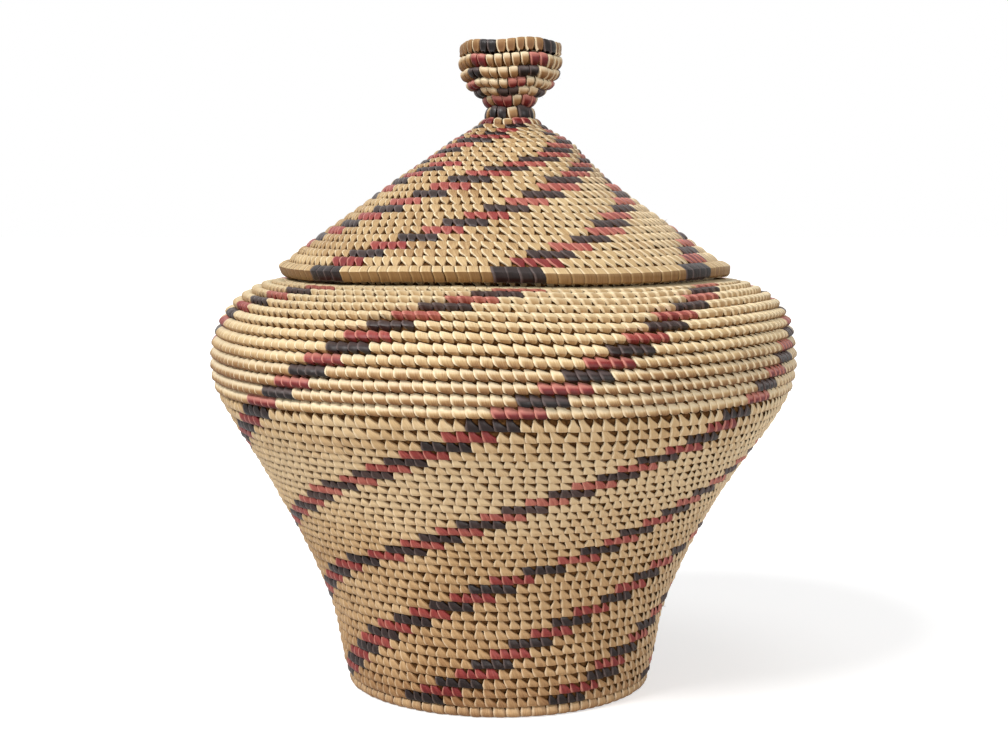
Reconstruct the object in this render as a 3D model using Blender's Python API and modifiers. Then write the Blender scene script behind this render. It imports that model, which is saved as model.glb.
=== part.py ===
"""Coiled grass basket with a loose lid, in metres, +Z up.

The basket stands on Z = 0 with its axis on Z. Like the real one, it is a single grass coil sewn
round and round: a flat base, a foot course, a flared wall, a belly, a shoulder and a mouth. The lid
is a second coil: a round top, a knob, a neck, a cone and a thick rim course that rests on the mouth,
with a short ring sewn under it that drops inside the mouth. Each zone of courses is its own solid,
turned from an outline whose outer side rises and falls once for each turn of the coil.
"""

import math

import bmesh
import bpy
from mathutils import Vector

# The coil
COIL = 0.0042  # thickness of the wall, one wrapped coil
LOWER_COURSE = 0.0037  # width of a course, one turn of the coil, low on the wall
FLARED_COURSE = 0.0032  # where the wall flares
UPPER_COURSE = 0.0040  # and on the belly and the shoulder
GROOVE = 0.0010  # depth of the groove between two turns
CREST_SHARE = 0.35  # place of a course's crest, as a share of its width from the older course
SEAM = 0.0003  # gap between two sewn pieces, and under the lid

# The foot and the base
FOOT_COIL = 0.0054  # thickness of the closely wrapped course that the basket stands on
FOOT_RADIUS = 0.0545  # outside of the foot course
FOOT_FLAT = 0.0005  # depth that is cut off the foot course, so that it stands flat
BASE_COURSE = 0.0046  # distance between two turns of the flat base
BUTTON_RADIUS = 0.0066  # the tight start of the coil, in the middle of the base
BUTTON_RISE = 0.0008  # how far that start stands up inside the basket

# The wall, as steps out and up from the place before, measured on the outside of the coil
SHIN_SWELL = 0.0058
SHIN_RISE = 0.0247
FLARE_SWELL = 0.0311
FLARE_RISE = 0.0604
BELLY_SWELL = 0.0132
BELLY_RISE = 0.0286
SHOULDER_DRAW = 0.0087
SHOULDER_RISE = 0.0224
MOUTH_DRAW = 0.0156
MOUTH_RISE = 0.0066
FOOT_LEAN = math.radians(68)
SHIN_LEAN = math.radians(72)
FLARE_LEAN = math.radians(55.5)
BELLY_LEAN = math.radians(90)
SHOULDER_LEAN = math.radians(144)
MOUTH_LEAN = math.radians(168)

# Where the zones of the wall end, as shares of its length counted from the foot
LOWER_TOP_SHARE = 0.328
FLARED_TOP_SHARE = 0.614
BELLY_TOP_SHARE = 0.807

# The lid
LOWER_CONE_COURSE = 0.0042  # width of a course on the lower part of the cone
UPPER_CONE_COURSE = 0.0027  # and on its upper part, where the coil is drawn in
RIM_COIL = 0.0054  # thickness of the rim course
RIM_OVERHANG = 0.0008  # how far the middle of the rim lies outside the middle of the mouth
CONE_RISE = 0.0553  # from the rim course up to the narrowest place, on the outside of the coil
NECK_RADIUS = 0.0086  # outside of that place
EAVE_OUT_SHARE = 0.583  # places on the cone, as shares of the way out from the neck to the rim
PEAK_OUT_SHARE = 0.212
EAVE_UP_SHARE = 0.380  # and of the way up from the rim to the neck
PEAK_UP_SHARE = 0.745
RIM_LEAN = math.radians(141)
EAVE_LEAN = math.radians(144)
PEAK_LEAN = math.radians(139)
NECK_LEAN = math.radians(90)
CONE_SPLIT_SHARE = 0.61  # length of the cone's lower part, as a share of the cone's length

# The ring under the lid
RING_CLEARANCE = 0.0010  # between the ring and the mouth
RING_COURSES = 3
RING_COURSE = 0.0039

# The knob
KNOB_COURSE = 0.0049
NECK_COURSE = 0.0038
CUP_SWELL = 0.0063
CUP_RISE = 0.0073
CHEEK_SWELL = 0.0035
CHEEK_RISE = 0.0109
CUP_LEAN = math.radians(46)
CHEEK_LEAN = math.radians(97)
NECK_SPAN = 0.0150  # length of coil, up the outside, that makes the narrow neck
KNOB_RIM_COIL = 0.0050
KNOB_RIM_DRAW = 0.0004  # how far the knob's top course lies inside the course below it
KNOB_TOP_SINK = 0.0008  # how far the top disc lies below the knob's top course

# How finely the round forms are divided
TURN_STEPS = 28
KNOB_STEPS = 20
CURVE_STEPS = 48
ROUND_POINTS = 9
INNER_STEPS = 4  # straight steps in the plain inside of a zone
MERGE_DISTANCE = 0.00001  # points of a turned outline this near the axis meet on it

STRAW = (0.60, 0.43, 0.21)
PALE_STRAW = (0.70, 0.53, 0.29)
TAN_STRAW = (0.50, 0.34, 0.16)
DARK_STRAW = (0.42, 0.28, 0.13)
STRAW_ROUGHNESS = 0.62


def clear_scene():
    for thing in list(bpy.data.objects):
        bpy.data.objects.remove(thing, do_unlink=True)


def material(name, colour):
    made = bpy.data.materials.new(name)
    made.use_nodes = True
    shader = made.node_tree.nodes["Principled BSDF"]
    shader.inputs["Base Color"].default_value = (*colour, 1)
    shader.inputs["Roughness"].default_value = STRAW_ROUGHNESS
    shader.inputs["Metallic"].default_value = 0
    return made


def smooth_path(stations):
    """Dense (arc length, radius, height, heading) samples through (radius, height, heading) stations."""
    samples = []
    arc = 0
    for first, second in zip(stations, stations[1:]):
        start, end = Vector(first[:2]), Vector(second[:2])
        chord = (end - start).length
        leave = Vector((math.cos(first[2]), math.sin(first[2]))) * chord
        arrive = Vector((math.cos(second[2]), math.sin(second[2]))) * chord
        for step in range(CURVE_STEPS + 1):
            if step == 0 and samples:
                continue
            t = step / CURVE_STEPS
            spot = (
                start * (2 * t**3 - 3 * t**2 + 1)
                + leave * (t**3 - 2 * t**2 + t)
                + end * (3 * t**2 - 2 * t**3)
                + arrive * (t**3 - t**2)
            )
            slope = (
                start * (6 * t**2 - 6 * t)
                + leave * (3 * t**2 - 4 * t + 1)
                + end * (6 * t - 6 * t**2)
                + arrive * (3 * t**2 - 2 * t)
            )
            if samples:
                arc += (spot - Vector(samples[-1][1:3])).length
            samples.append((arc, spot.x, spot.y, math.atan2(slope.y, slope.x)))
    return samples


def on_path(path, arc, depth=0):
    """(radius, height) at an arc length along the path, set in from it by a depth."""
    for before, after in zip(path, path[1:]):
        if arc <= after[0]:
            break
    share = (arc - before[0]) / (after[0] - before[0])
    radius, height, heading = (b + share * (a - b) for b, a in zip(before[1:], after[1:]))
    return radius - depth * math.sin(heading), height + depth * math.cos(heading)


def band_sides(path, start, stop, courses, crest_share):
    """A zone of courses: its grooved outside from the top down, and its plain inside from below."""
    width = (stop - start) / courses
    outer = [on_path(path, stop, GROOVE)]
    for course in range(courses - 1, -1, -1):
        outer.append(on_path(path, start + (course + crest_share) * width))
        outer.append(on_path(path, start + course * width, GROOVE))
    inner = [
        on_path(path, start + (stop - start) * step / INNER_STEPS, COIL)
        for step in range(INNER_STEPS + 1)
    ]
    return outer, inner


def round_outline(radius, height, coil, flat=0):
    """Outline of one round course, cut flat underneath by the depth given."""
    outline = []
    for step in range(ROUND_POINTS):
        turn = math.pi / 2 - math.tau * step / ROUND_POINTS
        rise = max(coil / 2 * math.sin(turn), flat - coil / 2)
        outline.append((radius + coil / 2 * math.cos(turn), height + rise))
    return outline


def turned(name, outline, parent, colour, steps, on_axis=False):
    """A solid turned from an outline that runs down its outer side."""
    mesh = bpy.data.meshes.new(name)
    shape = bmesh.new()
    points = [shape.verts.new((radius, 0, height)) for radius, height in outline]
    pairs = list(zip(points, points[1:]))
    if not on_axis:
        pairs.append((points[-1], points[0]))
    for pair in pairs:
        shape.edges.new(pair)
    shape.to_mesh(mesh)
    shape.free()
    thing = bpy.data.objects.new(name, mesh)
    basket_parts.objects.link(thing)
    thing.parent = parent
    screw = thing.modifiers.new("turn", "SCREW")
    screw.axis = "Z"
    screw.steps = steps
    screw.render_steps = steps
    screw.use_smooth_shade = True
    screw.use_merge_vertices = True
    screw.merge_threshold = MERGE_DISTANCE
    mesh.materials.append(material(name, colour))
    return thing


def holder(name, height):
    """An empty on the axis that carries the pieces of one body."""
    thing = bpy.data.objects.new(name, None)
    thing.location = (0, 0, height)
    thing.empty_display_size = FOOT_RADIUS
    basket_parts.objects.link(thing)
    return thing


def disc_outline(inside, outside, courses, under, over, below=True):
    """Outline of a flat spiral of courses between two radii, grooved on one face."""
    grooved = []
    for step in range(2 * courses + 1):
        radius = outside + (inside - outside) * step / (2 * courses)
        depth = 0 if step % 2 else GROOVE
        grooved.append((radius, under + depth if below else over - depth))
    if below:
        return [(outside, over)] + grooved + [(inside, over)]
    return grooved[::-1] + [(outside, under), (inside, under)]


def course_count(length, course):
    return max(2, round(length / course))


def make_base(basket):
    """The flat spiral under the basket, and its tight start."""
    edge = FOOT_RADIUS - FOOT_COIL - SEAM
    start = BUTTON_RADIUS + SEAM
    courses = course_count(edge - start, BASE_COURSE)
    disc = disc_outline(start, edge, courses, 0, COIL)
    turned("base_coil", disc, basket, TAN_STRAW, TURN_STEPS)
    button = [
        (0, COIL + BUTTON_RISE),
        (BUTTON_RADIUS / 2, COIL + BUTTON_RISE),
        (BUTTON_RADIUS, COIL - BUTTON_RISE),
        (BUTTON_RADIUS, GROOVE),
        (BUTTON_RADIUS - GROOVE, 0),
        (0, 0),
    ]
    turned("base_start_button", button, basket, DARK_STRAW, KNOB_STEPS, on_axis=True)
    foot = round_outline(FOOT_RADIUS - FOOT_COIL / 2, FOOT_COIL / 2, FOOT_COIL, FOOT_FLAT)
    lowest = min(height for radius, height in foot)
    foot = [(radius, height - lowest) for radius, height in foot]
    turned("foot_coil", foot, basket, TAN_STRAW, TURN_STEPS)


def wall_path():
    """The outside of the wall, from the foot course to the mouth course."""
    away = FOOT_COIL / 2 + SEAM
    radius = FOOT_RADIUS - FOOT_COIL / 2 + away * math.cos(FOOT_LEAN) + COIL / 2 * math.sin(FOOT_LEAN)
    height = FOOT_COIL / 2 - FOOT_FLAT + away * math.sin(FOOT_LEAN) - COIL / 2 * math.cos(FOOT_LEAN)
    stations = [(radius, height, FOOT_LEAN)]
    for swell, rise, lean in (
        (SHIN_SWELL, SHIN_RISE, SHIN_LEAN),
        (FLARE_SWELL, FLARE_RISE, FLARE_LEAN),
        (BELLY_SWELL, BELLY_RISE, BELLY_LEAN),
        (-SHOULDER_DRAW, SHOULDER_RISE, SHOULDER_LEAN),
        (-MOUTH_DRAW, MOUTH_RISE, MOUTH_LEAN),
    ):
        radius += swell
        height += rise
        stations.append((radius, height, lean))
    return smooth_path(stations)


def make_wall(basket):
    """The zones of the wall, and the mouth course. Returns the middle of the mouth course."""
    path = wall_path()
    length = path[-1][0]
    first_share = 0
    for name, last_share, course, colour in (
        ("lower_wall", LOWER_TOP_SHARE, LOWER_COURSE, TAN_STRAW),
        ("flared_wall", FLARED_TOP_SHARE, FLARED_COURSE, STRAW),
        ("belly", BELLY_TOP_SHARE, UPPER_COURSE, STRAW),
        ("shoulder", 1, UPPER_COURSE, PALE_STRAW),
    ):
        start = first_share * length + (SEAM / 2 if first_share else 0)
        stop = last_share * length - (SEAM / 2 if last_share < 1 else 0)
        courses = course_count(stop - start, course)
        outer, inner = band_sides(path, start, stop, courses, CREST_SHARE)
        turned(name, outer + inner, basket, colour, TURN_STEPS)
        first_share = last_share
    edge_radius, edge_height = on_path(path, length, COIL / 2)
    away = COIL / 2 + SEAM
    radius = edge_radius + away * math.cos(MOUTH_LEAN)
    height = edge_height + away * math.sin(MOUTH_LEAN)
    mouth = round_outline(radius, height, COIL)
    turned("mouth_rim_coil", mouth, basket, PALE_STRAW, TURN_STEPS)
    return radius, height


def lid_path(rim_radius):
    """The outside of the cone and the knob, from the rim course to the knob's top course."""
    away = RIM_COIL / 2 + SEAM
    radius = rim_radius + away * math.cos(RIM_LEAN) + COIL / 2 * math.sin(RIM_LEAN)
    height = RIM_COIL / 2 + away * math.sin(RIM_LEAN) - COIL / 2 * math.cos(RIM_LEAN)
    stations = [(radius, height, RIM_LEAN)]
    for out_share, up_share, lean in (
        (EAVE_OUT_SHARE, EAVE_UP_SHARE, EAVE_LEAN),
        (PEAK_OUT_SHARE, PEAK_UP_SHARE, PEAK_LEAN),
        (0, 1, NECK_LEAN),
    ):
        out = NECK_RADIUS + out_share * (radius - NECK_RADIUS)
        stations.append((out, height + up_share * CONE_RISE, lean))
    for swell, rise, lean in ((CUP_SWELL, CUP_RISE, CUP_LEAN), (CHEEK_SWELL, CHEEK_RISE, CHEEK_LEAN)):
        before = stations[-1]
        stations.append((before[0] + swell, before[1] + rise, lean))
    return smooth_path(stations)


def make_lid(lid, mouth_radius):
    """The rim course, the two parts of the cone and the ring under them."""
    rim_radius = mouth_radius + RIM_OVERHANG
    rim = round_outline(rim_radius, RIM_COIL / 2, RIM_COIL)
    turned("lid_rim_coil", rim, lid, PALE_STRAW, TURN_STEPS)
    path = lid_path(rim_radius)
    narrowest = min(path, key=lambda sample: sample[1])[0]
    neck_foot = narrowest - NECK_SPAN / 2
    neck_top = narrowest + NECK_SPAN / 2
    half = SEAM / 2
    split = neck_foot * CONE_SPLIT_SHARE
    courses = course_count(split, LOWER_CONE_COURSE)
    outer, underside = band_sides(path, 0, split - half, courses, 1 - CREST_SHARE)
    turned("lid_cone_lower", outer + underside, lid, PALE_STRAW, TURN_STEPS)
    courses = course_count(neck_foot - split, UPPER_CONE_COURSE)
    outer, inner = band_sides(path, split + half, neck_foot - half, courses, 1 - CREST_SHARE)
    turned("lid_cone_upper", outer + inner, lid, STRAW, TURN_STEPS)
    make_ring(lid, underside, mouth_radius)
    make_knob(lid, path, neck_foot, neck_top)


def seat_under(underside, radius):
    """Height of a piece at a radius when it is sewn up against the underside of the cone."""
    low, high = underside[0], underside[-1]
    for low, high in zip(underside, underside[1:]):
        if radius >= high[0]:
            break
    slope = (high[1] - low[1]) / (low[0] - high[0])
    height = low[1] + slope * max(low[0] - radius, 0)
    return height - SEAM * math.hypot(1, slope)


def make_ring(lid, underside, mouth_radius):
    """The ring of courses sewn under the cone, which keeps the lid on the mouth."""
    outside = mouth_radius - COIL / 2 - RING_CLEARANCE
    inside = outside - COIL
    edge = seat_under(underside, outside)
    foot = edge - RING_COURSES * RING_COURSE
    outline = [
        (outside - (0 if step % 2 else GROOVE), edge - RING_COURSE * step / 2)
        for step in range(2 * RING_COURSES + 1)
    ]
    outline += [(inside + GROOVE, foot), (inside, foot + GROOVE), (inside, seat_under(underside, inside))]
    corner = underside[0][0]
    if inside < corner < outside - GROOVE:
        outline.append((corner, seat_under(underside, corner)))
    turned("lid_locating_ring", outline, lid, TAN_STRAW, TURN_STEPS)


def make_knob(lid, path, neck_foot, neck_top):
    """The narrow neck, the cup above it, its top course and the disc that closes it."""
    half = SEAM / 2
    length = path[-1][0]
    neck = course_count(neck_top - neck_foot, NECK_COURSE)
    outer, inner = band_sides(path, neck_foot + half, neck_top - half, neck, 1 - CREST_SHARE)
    turned("knob_neck", outer + inner, lid, DARK_STRAW, KNOB_STEPS)
    cup = course_count(length - neck_top, KNOB_COURSE)
    outer, inner = band_sides(path, neck_top + half, length, cup, 1 - CREST_SHARE)
    turned("knob_cup", outer + inner, lid, STRAW, KNOB_STEPS)
    edge_radius, edge_height = on_path(path, length, COIL / 2)
    radius = edge_radius - KNOB_RIM_DRAW
    height = edge_height + SEAM + KNOB_RIM_COIL / 2
    outline = round_outline(radius, height, KNOB_RIM_COIL)
    turned("knob_rim_coil", outline, lid, PALE_STRAW, KNOB_STEPS)
    edge = radius - KNOB_RIM_COIL / 2 - SEAM
    over = height + KNOB_RIM_COIL / 2 - KNOB_TOP_SINK
    courses = course_count(edge, KNOB_COURSE)
    outline = disc_outline(0, edge, courses, over - COIL, over, below=False)
    turned("knob_top_disc", outline, lid, PALE_STRAW, KNOB_STEPS, on_axis=True)


clear_scene()
basket_parts = bpy.data.collections.new("coiled_grass_basket")
bpy.context.scene.collection.children.link(basket_parts)
basket_body = holder("basket_body", 0)
make_base(basket_body)
mouth_centre_radius, mouth_centre_height = make_wall(basket_body)
lid_body = holder("lid_body", mouth_centre_height + COIL / 2 + SEAM)
make_lid(lid_body, mouth_centre_radius)
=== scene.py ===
"""Looks of the lidded coiled grass basket, in metres, +Z up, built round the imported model.

The basket is one long grass coil, sewn round and round with flat splints from the middle of the
base to the mouth, and the lid is a second one, from the middle of the knob's top to the rim. Every
splint here is a strip of its own that goes right round its coil. An angle of 0 is the front, -Y,
and angles grow towards +X.
"""

import math
from collections import namedtuple

import bpy
import numpy as np
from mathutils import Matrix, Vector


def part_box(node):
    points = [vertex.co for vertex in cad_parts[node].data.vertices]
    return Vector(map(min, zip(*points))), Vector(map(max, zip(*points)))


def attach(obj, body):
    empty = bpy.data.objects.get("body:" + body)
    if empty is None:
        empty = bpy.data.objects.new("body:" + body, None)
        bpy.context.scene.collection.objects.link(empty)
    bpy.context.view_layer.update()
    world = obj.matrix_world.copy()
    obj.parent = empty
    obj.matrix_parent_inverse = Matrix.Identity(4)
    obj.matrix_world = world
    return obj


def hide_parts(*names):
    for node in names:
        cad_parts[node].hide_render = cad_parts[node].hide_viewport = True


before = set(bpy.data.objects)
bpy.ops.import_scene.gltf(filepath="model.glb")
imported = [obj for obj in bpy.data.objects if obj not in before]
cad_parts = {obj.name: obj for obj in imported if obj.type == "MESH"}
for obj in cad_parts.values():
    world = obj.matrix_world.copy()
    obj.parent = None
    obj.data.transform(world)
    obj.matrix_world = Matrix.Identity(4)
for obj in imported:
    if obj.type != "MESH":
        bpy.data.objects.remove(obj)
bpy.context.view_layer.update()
random = np.random.default_rng(41)

# Sizes of the coil and of the outline, the same as in the part's source
COIL = 0.0042
SEAM = 0.0003
FOOT_COIL = 0.0054
FOOT_RADIUS = 0.0545
FOOT_FLAT = 0.0005
BASE_COURSE = 0.0046
BUTTON_RADIUS = 0.0066
SHIN_SWELL, SHIN_RISE = 0.0058, 0.0247
FLARE_SWELL, FLARE_RISE = 0.0311, 0.0604
BELLY_SWELL, BELLY_RISE = 0.0132, 0.0286
SHOULDER_DRAW, SHOULDER_RISE = 0.0087, 0.0224
MOUTH_DRAW, MOUTH_RISE = 0.0156, 0.0066
FOOT_LEAN, SHIN_LEAN, FLARE_LEAN = math.radians(68), math.radians(72), math.radians(55.5)
BELLY_LEAN, SHOULDER_LEAN, MOUTH_LEAN = math.radians(90), math.radians(144), math.radians(168)
RIM_COIL = 0.0054
RIM_OVERHANG = 0.0008
CONE_RISE = 0.0553
NECK_RADIUS = 0.0086
EAVE_OUT_SHARE, EAVE_UP_SHARE = 0.583, 0.380
PEAK_OUT_SHARE, PEAK_UP_SHARE = 0.212, 0.745
RIM_LEAN, EAVE_LEAN, PEAK_LEAN = math.radians(141), math.radians(144), math.radians(139)
NECK_LEAN, CUP_LEAN, CHEEK_LEAN = math.radians(90), math.radians(46), math.radians(97)
CUP_SWELL, CUP_RISE = 0.0063, 0.0073
CHEEK_SWELL, CHEEK_RISE = 0.0035, 0.0109
NECK_SPAN = 0.0150
KNOB_RIM_COIL = 0.0050
KNOB_RIM_DRAW = 0.0004
CONE_SPLIT_SHARE = 0.61  # how far up the cone its lower courses reach, as a share of its length
RING_COURSES = 3
CURVE_STEPS = 48

# Courses in each zone, and how much of the wall's length each of its zones takes
LOWER_COURSES, FLARED_COURSES, BELLY_COURSES, SHOULDER_COURSES = 15, 15, 8, 8
LOWER_SHARE, FLARED_SHARE, BELLY_SHARE = 0.328, 0.286, 0.193
SHOULDER_SHARE = 1 - LOWER_SHARE - FLARED_SHARE - BELLY_SHARE
FLAT_BELLY_COURSES = 3  # the belly's first courses, sewn like the flared wall
CONE_LOWER_COURSES, CONE_UPPER_COURSES = 12, 12
NECK_COURSES, CUP_COURSES, TOP_COURSES = 4, 3, 3
KNOB_RIM_LEAN = math.radians(-45)
RING_SPARE = 0.6  # courses that would still fit in the ring under the lid, beside those that it has

# Room that a stitch takes along its course
LOW_STITCH, HIGH_STITCH, LID_STITCH, WRAP_STITCH, KNOB_STITCH = 0.0036, 0.0040, 0.0037, 0.0040, 0.0030
WALL_STITCHES = ((0.080, LOW_STITCH), (0.096, HIGH_STITCH))  # at two heights on the wall
FEWEST_STITCHES = 5

# The coil climbs from one course to the next at the back, and each turn begins where the climb ends
CLIMB_START = math.radians(160)
CLIMB_SPAN = math.radians(40)
TURN_START = CLIMB_START + CLIMB_SPAN - math.tau
END_THINNING = 0.6  # how much of its thickness a coil loses towards its end

# Unevenness of the whole form, as waves round it that shift with the height
WOBBLE = 0.00010  # how far each wave goes to either side
WOBBLE_WAVES = (1, 6)  # how many go round: the fewest, and one more than the most
WOBBLE_RATE = 90  # most radians that one shifts in a metre of height
WOBBLE_COUNT = 10
WOBBLES = [
    (
        random.integers(*WOBBLE_WAVES), random.uniform(-WOBBLE_RATE, WOBBLE_RATE),
        random.uniform(0, math.tau), random.uniform(0, math.tau),
    )
    for _ in range(WOBBLE_COUNT)
]
DROP_RATE_SHARE = 0.6  # how fast the waves up and down shift, beside those in and out
CALM_HEIGHT = 0.02  # the waves up and down fade below this, so that the basket stands level
LEANS = (  # heights, and how far right of the middle the basket stands there
    (0.0, -0.0019), (0.070, -0.0019), (0.100, -0.0003), (0.126, -0.0001), (0.138, 0.0009),
    (0.148, 0.0008), (0.158, -0.0008), (0.183, -0.0009), (0.195, 0.0020), (0.233, 0.0027),
)
# Heights, and how much lower than in the plain outline the courses sit there. The shoulder's last
# ones sit a little higher.
DROPS = ((0.1380, 0), (0.1456, -0.0008), (0.1476, 0), (0.1970, 0), (0.2060, 0.0011))

# How a stitch lies round its coil. Each column is one place round the section, from the older side
# over the outside to the newer side and back through the inside: how far across the course, how far
# out, how wide the splint is there as a share of the stitch, and how far it leans.
PLACES = 12
LONG_ACROSS = [-1.02, -1.12, -1.02, -0.62, -0.24, 0.08, 0.40, 0.72, 1.00, 0.70, 0.00, -0.70]
LONG_OUT = [0.35, 0.66, 0.92, 1.04, 1.04, 0.99, 0.92, 0.80, 0.46, -0.70, -1.00, -0.70]
FLAT = np.array([
    LONG_ACROSS,
    LONG_OUT,
    [1.06, 1.10, 1.12, 1.12, 1.03, 0.80, 0.55, 0.36, 0.22, 0.60, 0.95, 0.95],
    [0.09, 0.08, 0.07, 0.03, -0.03, -0.13, -0.24, -0.32, -0.37, -0.16, 0.04, 0.08],
])
TOOTH = np.array([
    LONG_ACROSS,
    [0.35, 0.66, 0.92, 1.05, 1.04, 0.98, 0.90, 0.78, 0.44, -0.70, -1.00, -0.70],
    [1.06, 1.10, 1.12, 1.12, 1.02, 0.78, 0.54, 0.35, 0.20, 0.60, 0.95, 0.95],
    [0.09, 0.08, 0.07, 0.02, -0.06, -0.16, -0.25, -0.32, -0.37, -0.16, 0.04, 0.08],
])
FULL = np.array([
    LONG_ACROSS,
    LONG_OUT,
    [1.06, 1.10, 1.12, 1.12, 1.04, 0.84, 0.60, 0.42, 0.28, 0.60, 0.95, 0.95],
    [0.07, 0.07, 0.06, 0.03, -0.01, -0.08, -0.18, -0.26, -0.32, -0.14, 0.03, 0.06],
])
PLUMP = np.array([
    [-0.88, -0.96, -0.87, -0.60, -0.22, 0.16, 0.50, 0.80, 1.02, 0.70, 0.00, -0.70],
    [-0.10, 0.34, 0.78, 1.10, 1.16, 1.09, 0.92, 0.62, 0.16, -0.70, -1.00, -0.70],
    [0.40, 0.54, 0.72, 0.92, 1.06, 1.12, 1.12, 1.08, 1.02, 0.80, 0.80, 0.50],
    [0.22, 0.20, 0.17, 0.10, 0.03, -0.03, -0.08, -0.12, -0.14, -0.05, 0.05, 0.15],
])
WRAP = np.array([
    [-1.00, -0.92, -0.70, -0.38, -0.05, 0.28, 0.60, 0.85, 1.00, 0.70, 0.00, -0.70],
    [0.10, 0.44, 0.76, 0.96, 1.02, 0.98, 0.78, 0.46, 0.10, -0.70, -1.00, -0.70],
    [1.06] * PLACES,
    [0.04, 0.03, 0.02, 0.01, 0.00, -0.01, -0.02, -0.03, -0.03, -0.02, 0.01, 0.02],
])
SQUARE = np.array([
    [-1.12, -0.90, -0.45, 0.10, 0.36, 0.48, 0.68, 0.86, 0.78, 0.10, -0.71, -1.12],
    [0.40, 0.86, 1.02, 1.06, 1.03, 0.88, 0.50, 0.08, -0.52, -0.98, -0.71, -0.20],
    [1.03] * PLACES,
    [0.10, 0.07, 0.03, -0.01, -0.06, -0.11, -0.14, -0.12, -0.06, 0.02, 0.08, 0.10],
])
ARCH = np.array([
    [-1.00, -0.96, -0.80, -0.46, -0.05, 0.34, 0.68, 0.92, 1.04, 0.70, 0.00, -0.70],
    [0.00, 0.40, 0.76, 0.98, 1.05, 1.04, 0.94, 0.68, 0.30, -0.70, -1.00, -0.70],
    [0.98, 1.01, 1.04, 1.05, 1.05, 1.04, 1.01, 0.92, 0.76, 0.80, 0.95, 0.95],
    [0.04, 0.04, 0.03, 0.02, 0.00, -0.03, -0.06, -0.09, -0.12, -0.05, 0.01, 0.03],
])
LEAF = np.array([
    [-0.96, -1.06, -0.96, -0.60, -0.20, 0.18, 0.54, 0.88, 1.16, 0.70, 0.00, -0.70],
    [0.05, 0.50, 0.86, 1.06, 1.10, 1.06, 0.94, 0.70, 0.34, -0.70, -1.00, -0.70],
    [0.76, 0.84, 0.88, 0.89, 0.88, 0.83, 0.72, 0.50, 0.22, 0.50, 0.76, 0.78],
    [0.07, 0.06, 0.05, 0.02, -0.01, -0.04, -0.07, -0.10, -0.12, -0.05, 0.03, 0.06],
])
CAP = np.array([
    [-1.41, -1.06, -0.71, -0.18, 0.16, 0.45, 0.75, 1.02, 1.27, 0.70, 0.00, -0.80],
    [0.00, 0.35, 0.71, 1.20, 1.16, 0.98, 0.70, 0.36, -0.10, -0.80, -1.00, -0.70],
    [1.06, 1.06, 1.06, 1.06, 0.98, 0.94, 0.88, 0.70, 0.36, 0.50, 0.90, 1.00],
    [0.02, 0.01, 0.00, 0.00, 0.00, -0.01, -0.03, -0.05, -0.07, -0.03, 0.01, 0.02],
])
# For each form its table, the crown of the splint, the skew and the rounding of its older end, the slope
# of its newer end, the drop of its edges as a share of its thickness, how far each splint lies over the
# next, how strongly a painted highlight is laid on its newer end and painted shade on its older one (the
# other way round when negative), and how wide the grass filling is on its outer side and elsewhere, as
# shares of the course
Form = namedtuple("Form", "table crown skew rounding slope drop overlay shading filling lining")
FORMS = {
    "flat": Form(FLAT, 0.00004, 0.18, 0.06, 0.0, 0.8, -0.00022, 0.0, 0.9, 1.03),
    "tooth": Form(TOOTH, 0.00004, 0.20, 0.06, 0.0, 0.8, -0.00024, 0.0, 0.9, 1.03),
    "full": Form(FULL, 0.00004, 0.10, 0.04, 0.0, 0.8, -0.00012, 0.0, 0.9, 1.03),
    "plump": Form(PLUMP, 0.00024, 0.20, 0.32, 0.42, 1.2, -0.00020, 1.0, 0.86, 1.03),
    "wrap": Form(WRAP, 0.00007, 0.02, 0.0, 0.0, 0.9, 0.00006, 0.0, 0.86, 0.86),
    "square": Form(SQUARE, 0.00003, 0.02, 0.0, 0.0, 0.6, 0.00003, 0.0, 0.6, 0.6),
    "arch": Form(ARCH, 0.00020, 0.02, 0.0, 0.0, 1.2, 0.00002, 0.3, 0.8, 0.8),
    "leaf": Form(LEAF, 0.00030, 0.06, 0.10, 0.0, 1.3, 0.00006, -0.9, 0.8, 1.03),
    "cap": Form(CAP, 0.00010, 0.02, 0.0, 0.0, 1.2, 0.00002, -0.7, 0.6, 0.6),
}

# A splint
SPLINT = 0.00036  # its thickness
ACROSS = np.array([-1.0, -0.93, -0.38, 0.38, 0.93, 1.0])  # places from one edge to the other
EDGE_DROP = np.array([1.0, 0.12, 0.0, 0.0, 0.12, 1.0])  # how far its surface drops at each
WIDEST = 1.12  # its full width, as a share of the stitch
DYED_NARROWING = 0.78  # how much a dyed splint narrows, beside a natural one
NARROWING_LIMITS = (0.4, 1.4)
END_SHARE = 0.4  # how far across the course its shaped ends begin
TIP_SHARE = 0.9  # and where the older one reaches more or less far
CROWN_SINK = 0.7  # how much of its crown is sunk into the coil
CREASE = math.radians(38)  # folds sharper than this show as edges

# How much the stitches vary, as shares of the size that varies
ROOM_SPREAD = 0.07
WIDTH_SPREAD = 0.04
NARROWING_SPREAD = 0.16
LEAN_SPREAD = 0.25
REACH_SPREAD = 0.05
THICKNESS_SPREAD = 0.15
OVERLAY_SPREAD = 0.5

# The grass bundle inside the stitches
FILLING_GAP = 0.0009  # its depth under the outside of the splints
FILLING_OUT = 0.97  # how far out it reaches, as a share of half the coil
FILLING_SIDES = 10
FILLING_SQUARENESS = 0.75  # the lower it is, the squarer the section
FILLING_FACE = 0.1  # its outer side is what lies farther out than this
FILLING_STITCHES = 1.5  # stitches to a step along it
FEWEST_FILLING_STEPS = 16

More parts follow.
